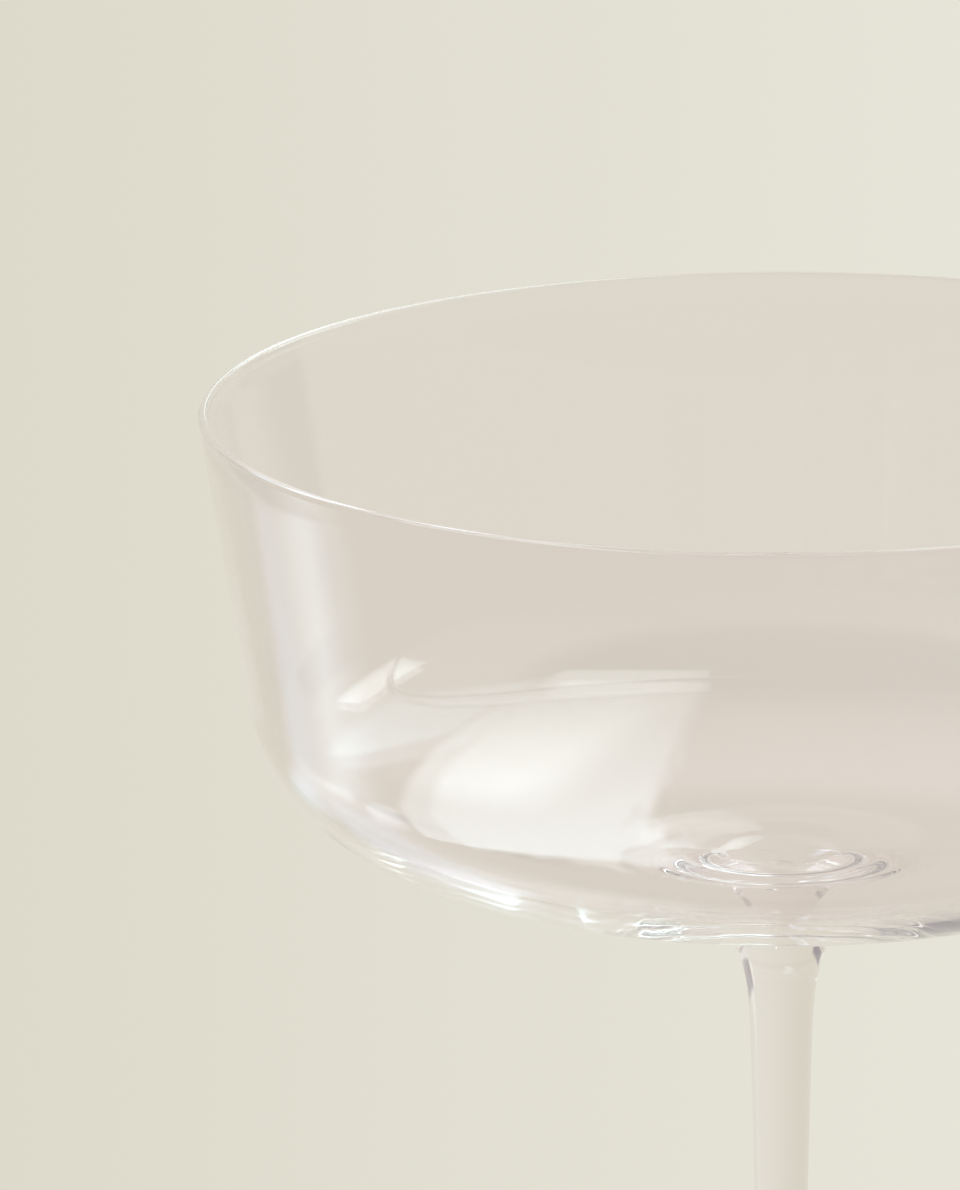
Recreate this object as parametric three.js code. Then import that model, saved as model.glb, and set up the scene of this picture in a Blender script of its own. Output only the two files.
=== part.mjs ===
// Stemmed glass for sparkling wine: a wide, shallow bowl on a drawn stem and a round foot.
// Millimetres, +Z up. The origin is the centre of the foot, on the surface that it stands on.
import * as THREE from "three";

// Whole glass
const HEIGHT = 160; // standing surface to rim

// Bowl, outside
const RIM_RADIUS = 55;
const RIM_THICKNESS = 1.1; // across the rounded bead of the lip
const BOWL_DEPTH = 48.6; // rim to the seat on the stem
const SIDE_LENGTH = 28.7; // straight side, from the lip to the shoulder
const SIDE_LEAN = 9; // degrees from vertical, opening upwards
const SHOULDER_FULLNESS = 0.915; // 1 would pull the shoulder into a sharp corner
const BELLY_FULLNESS = 0.38;
const BELLY_SLOPE = 3.5; // degrees from level, where the belly runs into the boss
const BOSS_RADIUS = 15; // the boss joins the belly to the stem
const BOSS_DEPTH = 3.03;
const BOSS_ANGLE = 45; // degrees from level, where the boss reaches the seat
const BOSS_EDGE_FULLNESS = 0.9;
const BOSS_SEAT_FULLNESS = 0.85;

// Bowl, inside
const BEAD_HEIGHT = 2.4; // lip to the thinnest place of the side
const BEAD_TURN = 24; // degrees that the bead's round carries on past the side's own direction
const BEAD_FULLNESS = 0.6;
const SIDE_TOP_THICKNESS = 0.8; // under the bead
const SIDE_THICKNESS = 1.1; // where the side runs into the shoulder
const FLOOR_THICKNESS = 4.3; // on the axis, down to the seat
const FLOOR_SHOULDER_FULLNESS = 0.9;
const FLOOR_FULLNESS = 0.5;

// Stem
const STEM_TOP_RADIUS = 6.5; // the fused seat under the bowl
const FLARE_ANGLE = 68; // degrees from level, where the flare leaves the seat
const FLARE_DROP = 14.63; // seat to neck
const FLARE_SEAT_FULLNESS = 0.825;
const FLARE_NECK_FULLNESS = 0.95;
const NECK_RADIUS = 2.93;
const NECK_TAPER = 1.62; // degrees from vertical, narrowing downwards
const SHANK_NECK_PULL = 20; // how far the neck's taper steers the shank
const SHANK_WAIST_PULL = 14; // how far the waist's straight run steers the shank
const WAIST_RADIUS = 2.2; // the slimmest place
const WAIST_HEIGHT = 48; // above the standing surface
const SPREAD_WAIST_FULLNESS = 0.82;
const SPREAD_SEAT_FULLNESS = 0.6;

// Foot
const FOOT_RADIUS = 37;
const FOOT_EDGE = 1.6; // thickness of the rounded edge
const FOOT_HEIGHT = 7.5; // standing surface to the seat under the stem
const FOOT_TOP_RADIUS = 5; // the fused seat under the stem
const FOOT_TOP_ANGLE = 50; // degrees from level, shared by foot and stem at their seat
const FOOT_EDGE_SLOPE = 3.5; // degrees from level, just inside the edge
const FOOT_EDGE_FULLNESS = 0.86;
const FOOT_SEAT_FULLNESS = 0.55;
const FOOT_REST_WIDTH = 5; // flat ring that the glass stands on
const FOOT_HOLLOW = 1.3; // rise of the hollow under the foot

// Facets
const ROUND_FACETS = 72;
const STEM_FACETS = 36;
const CURVE_STEPS = 12;
const SHORT_CURVE_STEPS = 6;
const ARC_STEPS = 4;

const at = (radius, height) => new THREE.Vector2(radius, height);
const radians = THREE.MathUtils.degToRad;
const along = (degrees) => at(Math.cos(radians(degrees)), Math.sin(radians(degrees)));
const stepped = (point, direction, distance) => point.clone().addScaledVector(direction, distance);

// The corner where a line through each end of a curve would meet.
function cornerOf(start, startDirection, end, endDirection) {
  const distance = end.clone().sub(start).cross(endDirection) / startDirection.cross(endDirection);
  return stepped(start, startDirection, distance);
}

// A curve that leaves start and reaches end along the given directions.
// Each fullness is how far that end's handle reaches towards the corner.
function swept(start, startDirection, startFullness, end, endDirection, endFullness, steps = CURVE_STEPS) {
  const corner = cornerOf(start, startDirection, end, endDirection);
  const startHandle = start.clone().lerp(corner, startFullness);
  const endHandle = end.clone().lerp(corner, endFullness);
  return new THREE.CubicBezierCurve(start, startHandle, endHandle, end).getPoints(steps);
}

function arc(centre, radius, fromDegrees, toDegrees) {
  const curve = new THREE.EllipseCurve(centre.x, centre.y, radius, radius, radians(fromDegrees), radians(toDegrees));
  return curve.getPoints(ARC_STEPS);
}

// Runs of points end to end, with the points that two runs share kept once.
function joined(...runs) {
  const near = 1e-6;
  return runs.flat().filter((point, i, all) => i === 0 || point.distanceTo(all[i - 1]) > near);
}

function glass() {
  return new THREE.MeshStandardMaterial({
    color: 0xe6e0d6,
    roughness: 0.04,
    metalness: 0,
    transparent: true,
    opacity: 0.35,
  });
}

// A profile that starts and ends on the axis, turned about +Z.
function turned(name, profile, facets) {
  const geometry = new THREE.LatheGeometry(profile, facets);
  geometry.rotateX(Math.PI / 2);
  const mesh = new THREE.Mesh(geometry, glass());
  mesh.name = name;
  return mesh;
}

const level = at(1, 0);
const upright = at(0, 1);
const bowlSeatHeight = HEIGHT - BOWL_DEPTH;
const bowlSeat = at(STEM_TOP_RADIUS, bowlSeatHeight);
const footSeat = at(FOOT_TOP_RADIUS, FOOT_HEIGHT);

// The bowl's outline runs from its seat over the boss and the belly, up the side, round the lip and down inside.
function bowl() {
  const lipRadius = RIM_THICKNESS / 2;
  const lipCentre = at(RIM_RADIUS - lipRadius, HEIGHT - lipRadius);
  const sideUp = along(90 - SIDE_LEAN);
  const sideOut = along(-SIDE_LEAN);
  const sideTop = stepped(lipCentre, sideOut, lipRadius);
  const shoulder = stepped(sideTop, sideUp, -SIDE_LENGTH);
  const innerShoulder = stepped(shoulder, sideOut, -SIDE_THICKNESS);
  const beadFoot = stepped(stepped(sideTop, sideOut, -SIDE_TOP_THICKNESS), sideUp, -BEAD_HEIGHT);
  const floorCentre = at(0, bowlSeatHeight + FLOOR_THICKNESS);
  const bossEdge = at(BOSS_RADIUS, bowlSeatHeight + BOSS_DEPTH);
  const bellyOut = along(BELLY_SLOPE);
  const boss = swept(
    bowlSeat, along(BOSS_ANGLE), BOSS_SEAT_FULLNESS, bossEdge, bellyOut, BOSS_EDGE_FULLNESS, SHORT_CURVE_STEPS,
  );
  const belly = swept(bossEdge, bellyOut, BELLY_FULLNESS, shoulder, sideUp, SHOULDER_FULLNESS);
  const lipOutside = arc(lipCentre, lipRadius, -SIDE_LEAN, 90);
  const lipInside = arc(lipCentre, lipRadius, 90, 180 - SIDE_LEAN + BEAD_TURN);
  const bead = swept(
    lipInside[ARC_STEPS], along(270 - SIDE_LEAN + BEAD_TURN), BEAD_FULLNESS,
    beadFoot, sideUp, BEAD_FULLNESS, SHORT_CURVE_STEPS,
  );
  const floor = swept(innerShoulder, sideUp, FLOOR_SHOULDER_FULLNESS, floorCentre, level, FLOOR_FULLNESS);
  const profile = joined([at(0, bowlSeatHeight)], boss, belly, lipOutside, lipInside, bead, floor);
  return turned("bowl", profile, ROUND_FACETS);
}

// The stem's outline runs up from the foot through the waist and the neck to the flare under the bowl.
function stem() {
  const waist = at(WAIST_RADIUS, WAIST_HEIGHT);
  const neck = at(NECK_RADIUS, bowlSeatHeight - FLARE_DROP);
  const neckUp = along(90 - NECK_TAPER);
  const spread = swept(
    footSeat, along(180 - FOOT_TOP_ANGLE), SPREAD_SEAT_FULLNESS, waist, upright, SPREAD_WAIST_FULLNESS,
  );
  const shank = new THREE.CubicBezierCurve(
    waist, stepped(waist, upright, SHANK_WAIST_PULL), stepped(neck, neckUp, -SHANK_NECK_PULL), neck,
  );
  const flare = swept(neck, neckUp, FLARE_NECK_FULLNESS, bowlSeat, along(FLARE_ANGLE), FLARE_SEAT_FULLNESS);
  const profile = joined(
    [at(0, FOOT_HEIGHT)], spread, shank.getPoints(CURVE_STEPS), flare, [at(0, bowlSeatHeight)],
  );
  return turned("stem", profile, STEM_FACETS);
}

// The foot's outline runs from the hollow underneath out to the edge and up its top to the seat of the stem.
function foot() {
  const edgeRadius = FOOT_EDGE / 2;
  const edgeCentre = at(FOOT_RADIUS - edgeRadius, edgeRadius);
  const restInside = at(edgeCentre.x - FOOT_REST_WIDTH, 0);
  const hollow = new THREE.QuadraticBezierCurve(at(0, FOOT_HOLLOW), at(restInside.x / 2, FOOT_HOLLOW), restInside);
  const edge = arc(edgeCentre, edgeRadius, -90, 90 - FOOT_EDGE_SLOPE);
  const topStart = edge[ARC_STEPS];
  const top = swept(
    topStart, along(180 - FOOT_EDGE_SLOPE), FOOT_EDGE_FULLNESS,
    footSeat, along(180 - FOOT_TOP_ANGLE), FOOT_SEAT_FULLNESS,
  );
  const profile = joined(hollow.getPoints(CURVE_STEPS), edge, top, [at(0, FOOT_HEIGHT)]);
  return turned("foot", profile, ROUND_FACETS);
}

const sparklingWineGlass = new THREE.Group();
sparklingWineGlass.add(bowl(), stem(), foot());

export default sparklingWineGlass;
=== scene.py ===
import math

import bpy
from mathutils import Matrix, Vector


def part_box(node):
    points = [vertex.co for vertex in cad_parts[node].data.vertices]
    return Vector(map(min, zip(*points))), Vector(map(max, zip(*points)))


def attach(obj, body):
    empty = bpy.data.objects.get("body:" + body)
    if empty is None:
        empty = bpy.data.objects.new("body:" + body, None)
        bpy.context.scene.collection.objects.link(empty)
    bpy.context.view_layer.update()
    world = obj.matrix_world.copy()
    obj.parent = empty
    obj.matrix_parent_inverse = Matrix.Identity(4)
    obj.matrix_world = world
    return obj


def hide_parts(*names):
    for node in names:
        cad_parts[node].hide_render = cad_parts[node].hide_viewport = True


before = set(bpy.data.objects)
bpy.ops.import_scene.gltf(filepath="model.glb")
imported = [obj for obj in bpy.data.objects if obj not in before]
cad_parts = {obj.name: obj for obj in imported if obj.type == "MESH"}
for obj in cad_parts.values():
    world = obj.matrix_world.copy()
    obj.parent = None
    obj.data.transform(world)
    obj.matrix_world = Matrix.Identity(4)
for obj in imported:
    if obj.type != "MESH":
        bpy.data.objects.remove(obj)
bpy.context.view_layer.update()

MM = 0.001

# Lengths are in metres and angles in degrees. A fullness is how far a curve's handle reaches towards
# the corner where the directions at its two ends would meet.

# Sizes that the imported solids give
RIM_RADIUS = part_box("bowl")[1].x
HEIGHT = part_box("bowl")[1].z
BOWL_SEAT_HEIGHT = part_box("stem")[1].z
STEM_TOP_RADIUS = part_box("stem")[1].x
FOOT_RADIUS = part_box("foot")[1].x
FOOT_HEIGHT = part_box("foot")[1].z

# Bowl, outside
RIM_THICKNESS = 1.1 * MM
SIDE_LENGTH = 28.7 * MM
SIDE_LEAN = 9.0  # from vertical, opening upwards
SHOULDER_FULLNESS = 0.915
BELLY_FULLNESS = 0.38
BELLY_SLOPE = 3.5  # from level, where the belly runs into the boss
BOSS_RADIUS = 17.0 * MM
BOSS_DEPTH = 3.16 * MM
BOSS_EDGE_FULLNESS = 0.7
BOSS_SEAT_FULLNESS = 0.6
SEAT_ANGLE = 63.0  # from level, shared by the boss and the flare where they are fused

# Bowl, inside
BEAD_HEIGHT = 2.4 * MM  # lip to the thinnest place of the side
BEAD_TURN = 24.0  # how far the bead's round carries on past the side's own direction
BEAD_FULLNESS = 0.6
SIDE_TOP_THICKNESS = 0.8 * MM
SIDE_THICKNESS = 1.1 * MM
FLOOR_THICKNESS = 4.3 * MM
FLOOR_SHOULDER_FULLNESS = 0.90
FLOOR_FULLNESS = 0.50
DIMPLE_RADIUS = 6.0 * MM  # shallow dimple over the stem
DIMPLE_EDGE = 1.2 * MM
DIMPLE_DEPTH = 0.15 * MM

# Stem
FLARE_DROP = 14.63 * MM
FLARE_SEAT_FULLNESS = 0.825
FLARE_NECK_FULLNESS = 0.95
NECK_RADIUS = 2.93 * MM
NECK_TAPER = 1.62  # from vertical, narrowing downwards
SHANK_NECK_PULL = 20.0 * MM
SHANK_WAIST_PULL = 14.0 * MM
WAIST_RADIUS = 2.2 * MM
WAIST_HEIGHT = 48.0 * MM
SPREAD_WAIST_FULLNESS = 0.82
SPREAD_SEAT_FULLNESS = 0.6

# Foot
FOOT_EDGE = 1.6 * MM
FOOT_TOP_RADIUS = 5.0 * MM
FOOT_TOP_ANGLE = 50.0  # from level, shared by the foot and the stem where they are fused
FOOT_EDGE_SLOPE = 3.5
FOOT_EDGE_FULLNESS = 0.86
FOOT_SEAT_FULLNESS = 0.55
FOOT_REST_WIDTH = 5.0 * MM
FOOT_HOLLOW = 1.3 * MM
HOLLOW_FULLNESS = 2 / 3  # makes the hollow's curve a parabola

# Fineness of the turned meshes
ROUND_STEPS = 192
CURVE_STEPS = 64
ARC_STEPS = 48
SIDE_STEPS = 24
FLOOR_STEPS = 400
SHARP_ANGLE = math.radians(30)
SAME_PLACE = 1e-7  # points closer than this count as one


# Outlines, as points of radius and height
def at(radius, height):
    return Vector((radius, height))


def along(degrees):
    angle = math.radians(degrees)
    return Vector((math.cos(angle), math.sin(angle)))


def cross2(a, b):
    return a.x * b.y - a.y * b.x


def bezier(start, start_handle, end_handle, end, steps=CURVE_STEPS):
    points = []
    for i in range(steps + 1):
        t = i / steps
        s = 1 - t
        points.append(s**3 * start + 3 * s * s * t * start_handle + 3 * s * t * t * end_handle + t**3 * end)
    return points


def swept(start, start_direction, start_fullness, end, end_direction, end_fullness, steps=CURVE_STEPS):
    """A curve that leaves start and reaches end along the given directions."""
    distance = cross2(end - start, end_direction) / cross2(start_direction, end_direction)
    corner = start + start_direction * distance
    return bezier(start, start.lerp(corner, start_fullness), end.lerp(corner, end_fullness), end, steps)


def arc(centre, radius, from_degrees, to_degrees):
    turn = (to_degrees - from_degrees) / ARC_STEPS
    return [centre + radius * along(from_degrees + turn * i) for i in range(ARC_STEPS + 1)]


def straight(start, end, steps):
    return [start.lerp(end, i / steps) for i in range(steps + 1)]


def joined(*runs):
    """Runs of points end to end, with the points that two runs share kept once."""
    points = []
    for run in runs:
        for point in run:
            if not points or (point - points[-1]).length > SAME_PLACE:
                points.append(point)
    return points


LEVEL = at(1, 0)
UPRIGHT = at(0, 1)
BOWL_SEAT = at(STEM_TOP_RADIUS, BOWL_SEAT_HEIGHT)
FOOT_SEAT = at(FOOT_TOP_RADIUS, FOOT_HEIGHT)


def dimple(radius):
    """How far the shallow dimple over the stem lies below the floor's own curve."""
    inside = min(1, max(0, (DIMPLE_RADIUS - radius) / DIMPLE_EDGE + 0.5))
    return DIMPLE_DEPTH * inside * inside * (3 - 2 * inside)


def bowl_profile():
    """From the seat over the boss and the belly, up the side, round the lip and down inside to the axis."""
    lip_radius = RIM_THICKNESS / 2
    lip_centre = at(RIM_RADIUS - lip_radius, HEIGHT - lip_radius)
    side_up = along(90 - SIDE_LEAN)
    side_out = along(-SIDE_LEAN)
    shoulder = lip_centre + side_out * lip_radius - side_up * SIDE_LENGTH
    inner_shoulder = shoulder - side_out * SIDE_THICKNESS
    floor_centre = at(0, BOWL_SEAT_HEIGHT + FLOOR_THICKNESS)
    boss_edge = at(BOSS_RADIUS, BOWL_SEAT_HEIGHT + BOSS_DEPTH)
    belly_out = along(BELLY_SLOPE)
    boss = swept(BOWL_SEAT, along(SEAT_ANGLE), BOSS_SEAT_FULLNESS, boss_edge, belly_out, BOSS_EDGE_FULLNESS)
    belly = swept(boss_edge, belly_out, BELLY_FULLNESS, shoulder, side_up, SHOULDER_FULLNESS)
    lip_outside = arc(lip_centre, lip_radius, -SIDE_LEAN, 90)
    lip_inside = arc(lip_centre, lip_radius, 90, 180 - SIDE_LEAN + BEAD_TURN)
    side_top = lip_outside[0] - side_out * SIDE_TOP_THICKNESS - side_up * BEAD_HEIGHT
    bead_down = along(270 - SIDE_LEAN + BEAD_TURN)
    bead = swept(lip_inside[-1], bead_down, BEAD_FULLNESS, side_top, side_up, BEAD_FULLNESS)
    plain_floor = swept(
        inner_shoulder, side_up, FLOOR_SHOULDER_FULLNESS,
        floor_centre, LEVEL, FLOOR_FULLNESS, FLOOR_STEPS,
    )
    floor = [at(point.x, point.y - dimple(point.x)) for point in plain_floor]
    return joined(
        boss,
        belly,
        straight(shoulder, lip_outside[0], SIDE_STEPS),
        lip_outside,
        lip_inside,
        bead,
        straight(side_top, inner_shoulder, SIDE_STEPS),
        floor,
    )


def stem_profile():
    """From the foot up through the waist and the neck to the flare under the bowl."""
    waist = at(WAIST_RADIUS, WAIST_HEIGHT)
    neck = at(NECK_RADIUS, BOWL_SEAT_HEIGHT - FLARE_DROP)
    neck_up = along(90 - NECK_TAPER)
    foot_up = along(180 - FOOT_TOP_ANGLE)
    spread = swept(FOOT_SEAT, foot_up, SPREAD_SEAT_FULLNESS, waist, UPRIGHT, SPREAD_WAIST_FULLNESS)
    shank = bezier(waist, waist + UPRIGHT * SHANK_WAIST_PULL, neck - neck_up * SHANK_NECK_PULL, neck)
    flare = swept(neck, neck_up, FLARE_NECK_FULLNESS, BOWL_SEAT, along(SEAT_ANGLE), FLARE_SEAT_FULLNESS)
    return joined(spread, shank, flare)


def foot_profile():
    """From the hollow underneath out to the edge and up the top to the seat of the stem."""
    edge_radius = FOOT_EDGE / 2
    edge_centre = at(FOOT_RADIUS - edge_radius, edge_radius)
    rest_inside = at(edge_centre.x - FOOT_REST_WIDTH, 0)
    hollow_top = at(0, FOOT_HOLLOW)
    hollow_corner = at(rest_inside.x / 2, FOOT_HOLLOW)
    top_handle = hollow_top.lerp(hollow_corner, HOLLOW_FULLNESS)
    rest_handle = rest_inside.lerp(hollow_corner, HOLLOW_FULLNESS)
    hollow = bezier(hollow_top, top_handle, rest_handle, rest_inside)
    edge = arc(edge_centre, edge_radius, -90, 90 - FOOT_EDGE_SLOPE)
    edge_in = along(180 - FOOT_EDGE_SLOPE)
    foot_up = along(180 - FOOT_TOP_ANGLE)
    top = swept(edge[-1], edge_in, FOOT_EDGE_FULLNESS, FOOT_SEAT, foot_up, FOOT_SEAT_FULLNESS)
    return joined(hollow, edge, top)


def turned(name, profile):
    """A smooth mesh turned about +Z from a profile. It stays open at a seat, where the next piece goes on."""
    verts = []
    rings = []
    for point in profile:
        if point.x < SAME_PLACE:
            rings.append([len(verts)] * ROUND_STEPS)
            verts.append((0, 0, point.y))
            continue
        rings.append(list(range(len(verts), len(verts) + ROUND_STEPS)))
        for k in range(ROUND_STEPS):
            angle = 2 * math.pi * k / ROUND_STEPS
            verts.append((point.x * math.cos(angle), point.x * math.sin(angle), point.y))
    faces = []
    for ring, next_ring in zip(rings, rings[1:]):
        for k in range(ROUND_STEPS):
            n = (k + 1) % ROUND_STEPS
            corners = [ring[k], ring[n], next_ring[n], next_ring[k]]
            faces.append(list(dict.fromkeys(corners)))
    mesh = bpy.data.meshes.new(name)
    mesh.from_pydata(verts, [], faces)
    mesh.shade_smooth()
    mesh.set_sharp_from_angle(angle=SHARP_ANGLE)
    mesh.validate()
    piece = bpy.data.objects.new(name, mesh)
    bpy.context.scene.collection.objects.link(piece)
    return piece


# Camera, at the photograph's viewing angle
RIM_CENTRE = Vector((0, 0, HEIGHT))
CAMERA_DISTANCE = 1.0
CAMERA_ELEVATION = math.radians(14.013)
CAMERA_YAW = math.radians(-1.6844)
CAMERA_PITCH = math.radians(15.034)
CAMERA_ROLL = math.radians(-0.4370)
CAMERA_LENS = 320.96
CAMERA_REACH = 100.0
SENSOR = 36.0


def add_camera():
    data = bpy.data.cameras.new("camera")
    data.lens = CAMERA_LENS
    data.sensor_fit = "VERTICAL"
    data.sensor_height = SENSOR
    data.clip_end = CAMERA_REACH
    camera = bpy.data.objects.new("camera", data)
    bpy.context.scene.collection.objects.link(camera)
    forward = Vector((
        math.sin(CAMERA_YAW) * math.cos(CAMERA_PITCH),
        math.cos(CAMERA_YAW) * math.cos(CAMERA_PITCH),
        -math.sin(CAMERA_PITCH),
    ))
    level_right = Vector((math.cos(CAMERA_YAW), -math.sin(CAMERA_YAW), 0))
    level_up = level_right.cross(forward)
    right = level_right * math.cos(CAMERA_ROLL) + level_up * math.sin(CAMERA_ROLL)
    up = level_up * math.cos(CAMERA_ROLL) - level_right * math.sin(CAMERA_ROLL)
    outward = Vector((0, -math.cos(CAMERA_ELEVATION), math.sin(CAMERA_ELEVATION)))
    place = RIM_CENTRE + CAMERA_DISTANCE * outward
    turn = Matrix((right, up, -forward)).transposed().to_4x4()
    camera.matrix_world = Matrix.Translation(place) @ turn
    bpy.context.scene.camera = camera


# Shader nodes
def srgb(r, g, b):
    """A colour as it shows on screen, 0 to 255, as the linear colour that renders so."""
    def linear(v):
        v = v / 255
        return v / 12.92 if v <= 0.04045 else ((v + 0.055) / 1.055) ** 2.4
    return (linear(r), linear(g), linear(b), 1.0)


def fed(tree, socket, value):
    """Links a socket to another node's output, or sets it to a plain value."""
    if isinstance(value, bpy.types.NodeSocket):
        tree.links.new(value, socket)
    else:
        socket.default_value = value


def smooth_between(tree, value, low, high):
    made = tree.nodes.new("ShaderNodeMapRange")
    made.interpolation_type = "SMOOTHSTEP"
    made.inputs["From Min"].default_value = low
    made.inputs["From Max"].default_value = high
    tree.links.new(value, made.inputs["Value"])
    return made.outputs["Result"]


def mixed(tree, factor, a, b):
    """A mix of two colours. The node's sockets for colours are those numbered here."""
    made = tree.nodes.new("ShaderNodeMix")
    made.data_type = "RGBA"
    fed(tree, made.inputs[0], factor)
    fed(tree, made.inputs[6], a)
    fed(tree, made.inputs[7], b)
    return made.outputs[2]


def combined(tree, operation, a, b):
    made = tree.nodes.new("ShaderNodeMath")
    made.operation = operation
    fed(tree, made.inputs[0], a)
    fed(tree, made.inputs[1], b)
    return made.outputs[0]


def product(tree, a, b):
    return combined(tree, "MULTIPLY", a, b)


def ratio(tree, a, b):
    return combined(tree, "DIVIDE", a, b)


# Glass: slight changes in tint and polish, and slightly wavy walls
GLASS_IOR = 1.5
GLASS_TINT = (0.954, 0.921, 0.928, 1.0)
GLASS_TINT_DEEP = (0.950, 0.917, 0.924, 1.0)
GLASS_SMOOTHEST = 0.001
GLASS_ROUGHEST = 0.0035
GLASS_CLOUDS = 60.0  # noise cells in a metre
WAVE_STRETCH = (300.0, 110.0, 25.0)  # noise cells in a metre along X, Y and Z
WAVE_DETAIL = 1.0
WAVE_RELIEF = 0.006 * MM


def glass_material():
    material = bpy.data.materials.new("clear_glass")
    material.use_nodes = True
    tree = material.node_tree
    shader = tree.nodes["Principled BSDF"]
    shader.inputs["IOR"].default_value = GLASS_IOR
    shader.inputs["Transmission Weight"].default_value = 1.0
    place = tree.nodes.new("ShaderNodeTexCoord")
    stretch = tree.nodes.new("ShaderNodeMapping")
    stretch.inputs["Scale"].default_value = WAVE_STRETCH
    waves = tree.nodes.new("ShaderNodeTexNoise")
    waves.inputs["Scale"].default_value = 1.0
    waves.inputs["Detail"].default_value = WAVE_DETAIL
    bump = tree.nodes.new("ShaderNodeBump")
    bump.inputs["Distance"].default_value = WAVE_RELIEF
    tree.links.new(place.outputs["Object"], stretch.inputs["Vector"])
    tree.links.new(stretch.outputs["Vector"], waves.inputs["Vector"])
    tree.links.new(waves.outputs["Fac"], bump.inputs["Height"])
    tree.links.new(bump.outputs["Normal"], shader.inputs["Normal"])
    clouds = tree.nodes.new("ShaderNodeTexNoise")
    clouds.inputs["Scale"].default_value = GLASS_CLOUDS
    tree.links.new(place.outputs["Object"], clouds.inputs["Vector"])
    tint = mixed(tree, clouds.outputs["Fac"], GLASS_TINT, GLASS_TINT_DEEP)
    tree.links.new(tint, shader.inputs["Base Color"])
    polish = tree.nodes.new("ShaderNodeMapRange")
    polish.inputs["To Min"].default_value = GLASS_SMOOTHEST
    polish.inputs["To Max"].default_value = GLASS_ROUGHEST
    tree.links.new(clouds.outputs["Fac"], polish.inputs["Value"])
    tree.links.new(polish.outputs["Result"], shader.inputs["Roughness"])
    return material


# The room is one world, and its parts differ by direction: +X is right, +Y behind the glass and +Z up.
# Pairs are the values of a direction between which one colour runs smoothly into the next.
BACKDROP_LEFT = srgb(219.6, 216.6, 201.6)
BACKDROP_RIGHT = srgb(231.5, 229.5, 217.6)
BACKDROP_SIDES = (-0.11, 0.05)
WALL_SIDES = (-0.6, 0.54)
UPPER_WALL = (1.0, 0.97, 0.93, 1.0)
UPPER_WALL_RISE = (0.35, 0.5)
CEILING = (0.25, 0.24, 0.24, 1.0)
CEILING_RISE = (0.8, 0.92)
FRONT_SIDE = (0.60, 0.58, 0.56, 1.0)  # the dimmer half of the room, where the camera stands
FRONT_DEPTH = (-0.1, -0.6)
FRONT_RISE = (-0.4, -0.2)

# Strip of light overhead, behind the glass. Its slopes are X/Z and Y/Z, and two of its edges lean.
STRIP_END = (1.6, 1.85, 1.85, 1.0)
STRIP_LIGHT = (2.5, 3.0, 3.0, 1.0)
STRIP_EDGES = (-1.0, 0.43, 0.25, 9.0)
STRIP_SOFTNESS = 0.03
STRIP_LEFT = (0.118, 0.130)
STRIP_LEFT_LEAN = 0.0336
STRIP_LOW = (3.75, 3.45)
STRIP_LOW_LEAN = 6.0
STRIP_CORE_LEFT = (0.11, 0.19)
STRIP_CORE_LOW = (2.6, 1.7)

# Windows of light and darker places, each a soft-edged rectangle of directions. A row gives the axis that it
# lies along, the axes across and up, the left, right, low and high edge as slopes to that axis, the softness
# and the colour. A later row covers an earlier one, and the strip comes between the two lists.
UNDER_STRIP = (
    ("x", "y", "z", 0.45, 1.2, -0.15, 0.26, 0.05, (0.42, 0.38, 0.37, 1.0)),  # dim, right
    ("y", "-x", "z", 0.62, 1.6, 0.24, 0.6, 0.05, (0.28, 0.26, 0.28, 1.0)),  # dim, left
    ("-z", "-x", "y", 0.9, 1.9, 1.25, 1.75, 0.25, (0.97, 1.07, 1.15, 1.0)),  # haze, low, left and behind
    ("y", "x", "z", 0.03, 0.17, 0.2, 0.245, 0.02, (0.2, 0.2, 0.18, 1.0)),  # dim patch, straight behind
)
OVER_STRIP = (
    ("x", "y", "z", 0.85, 2.6, 0.85, 2.2, 0.15, (1.9, 2.4, 2.5, 1.0)),  # window, high on the right
    ("x", "y", "z", 0.30, 1.05, 0.50, 0.76, 0.03, (3.2, 3.8, 3.8, 1.0)),  # window, right
    ("-z", "-x", "y", 1.5, 2.6, 0.6, 1.2, 0.35, (1.6, 1.8, 1.85, 1.0)),  # glow, low on the left
    ("-z", "-x", "y", 0.42, 1.3, 0.45, 1.1, 0.1, (0.90, 0.95, 1.0, 1.0)),  # bright patch on the table on the left: painted light
    ("-z", "-x", "y", 0.30, 0.52, 0.62, 0.95, 0.05, (1.35, 1.42, 1.5, 1.0)),  # its brighter near part, painted light
    ("-z", "-x", "y", 1.2, 1.7, 0.28, 0.6, 0.08, (1.8, 1.95, 2.05, 1.0)),  # its brightest far part, painted light
)
AHEAD = (0.0, 0.02)  # a window shows only to directions that point along its axis


def window(tree, depth, across, up, left, right, low, high, soft):
    """How much of a soft-edged rectangle a direction looks at, from its slopes across/depth and up/depth."""
    across_slope = ratio(tree, across, depth)
    up_slope = ratio(tree, up, depth)
    mask = smooth_between(tree, depth, *AHEAD)
    edges = (
        (across_slope, left, soft),
        (across_slope, right, -soft),
        (up_slope, low, soft),
        (up_slope, high, -soft),
    )
    for slope, edge, step in edges:
        mask = product(tree, mask, smooth_between(tree, slope, edge - step, edge + step))
    return mask


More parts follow.
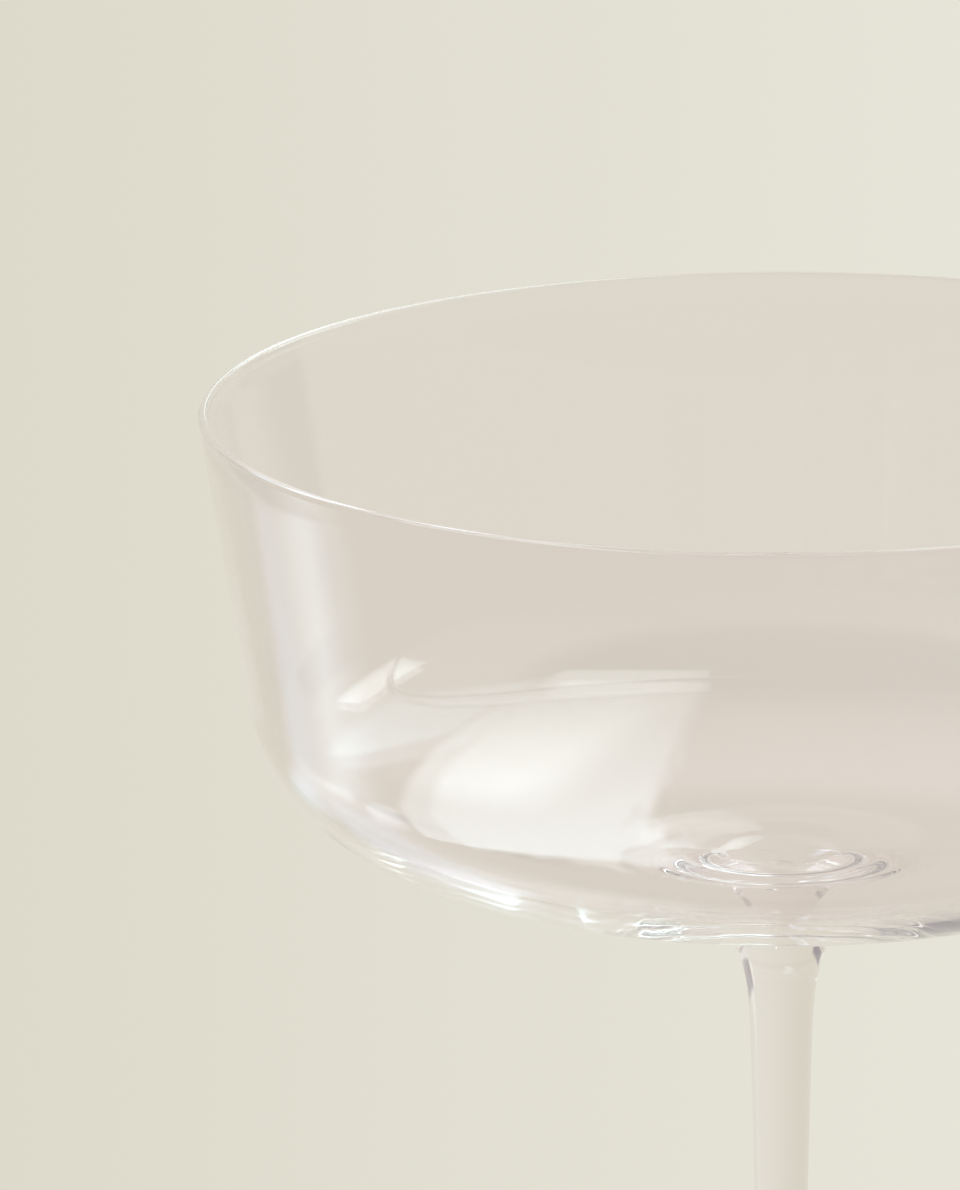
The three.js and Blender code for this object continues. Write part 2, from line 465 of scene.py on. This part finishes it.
def strip_masks(tree, x, y, z):
    """The whole strip of light, and its bright core."""
    strip = window(tree, z, x, y, *STRIP_EDGES, STRIP_SOFTNESS)
    left_place = combined(tree, "ADD", x, product(tree, y, STRIP_LEFT_LEAN))
    low_place = combined(tree, "SUBTRACT", y, product(tree, x, STRIP_LOW_LEAN))
    left_edge = smooth_between(tree, ratio(tree, left_place, z), *STRIP_LEFT)
    low_edge = smooth_between(tree, ratio(tree, low_place, z), *STRIP_LOW)
    strip = product(tree, strip, product(tree, left_edge, low_edge))
    core = product(tree, strip, smooth_between(tree, ratio(tree, x, z), *STRIP_CORE_LEFT))
    core = product(tree, core, smooth_between(tree, ratio(tree, y, z), *STRIP_CORE_LOW))
    return strip, core


def add_world():
    """The camera sees the plain backdrop. Reflections and glass see the room and its lights."""
    world = bpy.data.worlds.new("studio")
    bpy.context.scene.world = world
    world.use_nodes = True
    tree = world.node_tree
    background = tree.nodes["Background"]
    direction = tree.nodes.new("ShaderNodeTexCoord").outputs["Generated"]
    parts = tree.nodes.new("ShaderNodeSeparateXYZ")
    tree.links.new(direction, parts.inputs[0])
    x, y, z = parts.outputs
    axes = {"x": x, "y": y, "z": z, "-x": product(tree, x, -1.0), "-z": product(tree, z, -1.0)}
    path = tree.nodes.new("ShaderNodeLightPath")
    backdrop = mixed(tree, smooth_between(tree, x, *BACKDROP_SIDES), BACKDROP_LEFT, BACKDROP_RIGHT)
    room = mixed(tree, smooth_between(tree, x, *WALL_SIDES), BACKDROP_LEFT, BACKDROP_RIGHT)
    room = mixed(tree, smooth_between(tree, z, *UPPER_WALL_RISE), room, UPPER_WALL)
    room = mixed(tree, smooth_between(tree, z, *CEILING_RISE), room, CEILING)
    front = smooth_between(tree, y, *FRONT_DEPTH)
    above_table = smooth_between(tree, z, *FRONT_RISE)
    reflected = mixed(tree, product(tree, front, above_table), room, FRONT_SIDE)

    def window_masks(rows):
        masks = []
        for depth, across, up, left, right, low, high, soft, colour in rows:
            mask = window(tree, axes[depth], axes[across], axes[up], left, right, low, high, soft)
            masks.append((mask, colour))
        return masks

    strip, strip_core = strip_masks(tree, x, y, z)
    lights = window_masks(UNDER_STRIP)
    lights += [(strip, STRIP_END), (strip_core, STRIP_LIGHT)]
    lights += window_masks(OVER_STRIP)
    for mask, colour in lights:
        room = mixed(tree, mask, room, colour)
        reflected = mixed(tree, mask, reflected, colour)
    seen = mixed(tree, path.outputs["Is Glossy Ray"], room, reflected)
    seen = mixed(tree, path.outputs["Is Transmission Ray"], seen, room)
    seen = mixed(tree, path.outputs["Is Camera Ray"], seen, backdrop)
    tree.links.new(seen, background.inputs["Color"])
    background.inputs["Strength"].default_value = 1.0


# Floor, which fades into the backdrop away from the foot
FLOOR_RADIUS = 0.5
FLOOR_SIDES = 128
FLOOR_DROP = 0.2 * MM  # below the foot, so that the two share no plane
FLOOR_PALE = srgb(245, 237, 229)
FLOOR_DEEP = srgb(243, 235, 227)
FLOOR_SEEN = srgb(226, 223, 209)  # as it shows through the glass and in reflections
FLOOR_GRAIN = 900.0  # noise cells in a metre
FLOOR_RELIEF = 0.05 * MM
FLOOR_MATT = (-2.0, 1.0)  # values of the grain at which the floor would be polished and fully matt
FLOOR_FADE = (0.10, 0.24)
FLOOR_FADE_SEEN = (0.05, 0.09)


def add_floor():
    bpy.ops.mesh.primitive_circle_add(
        vertices=FLOOR_SIDES, radius=FLOOR_RADIUS, fill_type="NGON", location=(0, 0, -FLOOR_DROP),
    )
    floor = bpy.context.object
    floor.name = "floor"
    material = bpy.data.materials.new("floor")
    material.use_nodes = True
    tree = material.node_tree
    shader = tree.nodes["Principled BSDF"]
    shader.inputs["Specular IOR Level"].default_value = 0.0
    grain = tree.nodes.new("ShaderNodeTexNoise")
    grain.inputs["Scale"].default_value = FLOOR_GRAIN
    tree.links.new(tree.nodes.new("ShaderNodeTexCoord").outputs["Object"], grain.inputs["Vector"])
    paint = mixed(tree, grain.outputs["Fac"], FLOOR_PALE, FLOOR_DEEP)
    tree.links.new(paint, shader.inputs["Base Color"])
    matt = smooth_between(tree, grain.outputs["Fac"], *FLOOR_MATT)
    tree.links.new(matt, shader.inputs["Roughness"])
    bump = tree.nodes.new("ShaderNodeBump")
    bump.inputs["Distance"].default_value = FLOOR_RELIEF
    tree.links.new(grain.outputs["Fac"], bump.inputs["Height"])
    tree.links.new(bump.outputs["Normal"], shader.inputs["Normal"])
    pale = tree.nodes.new("ShaderNodeEmission")
    pale.inputs["Color"].default_value = FLOOR_SEEN
    path = tree.nodes.new("ShaderNodeLightPath").outputs
    by_glass = combined(tree, "MAXIMUM", path["Is Transmission Ray"], path["Is Glossy Ray"])
    lit = tree.nodes.new("ShaderNodeMixShader")
    tree.links.new(by_glass, lit.inputs[0])
    tree.links.new(shader.outputs[0], lit.inputs[1])
    tree.links.new(pale.outputs[0], lit.inputs[2])
    clear = tree.nodes.new("ShaderNodeBsdfTransparent")
    place = tree.nodes.new("ShaderNodeNewGeometry").outputs["Position"]
    length = tree.nodes.new("ShaderNodeVectorMath")
    length.operation = "LENGTH"
    tree.links.new(place, length.inputs[0])
    distance = length.outputs["Value"]
    seen_fade = product(tree, by_glass, smooth_between(tree, distance, *FLOOR_FADE_SEEN))
    fade = combined(tree, "MAXIMUM", seen_fade, smooth_between(tree, distance, *FLOOR_FADE))
    surface = tree.nodes.new("ShaderNodeMixShader")
    tree.links.new(fade, surface.inputs[0])
    tree.links.new(lit.outputs[0], surface.inputs[1])
    tree.links.new(clear.outputs[0], surface.inputs[2])
    tree.links.new(surface.outputs[0], tree.nodes["Material Output"].inputs["Surface"])
    floor.data.materials.append(material)


add_camera()
glass = glass_material()
PROFILES = {"bowl": bowl_profile(), "stem": stem_profile(), "foot": foot_profile()}
for node_name, profile in PROFILES.items():
    piece = turned("glass_" + node_name, profile)
    piece.data.materials.append(glass)
    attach(piece, "root")
    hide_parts(node_name)
add_world()
add_floor()

# Light that is caught inside the stem or the rim bounces many times before it comes out
GLASS_BOUNCES = 512
CLEAR_BOUNCES = 16
scene = bpy.context.scene
scene.view_settings.view_transform = "Standard"
scene.cycles.max_bounces = GLASS_BOUNCES
scene.cycles.transmission_bounces = GLASS_BOUNCES
scene.cycles.glossy_bounces = GLASS_BOUNCES
scene.cycles.transparent_max_bounces = CLEAR_BOUNCES
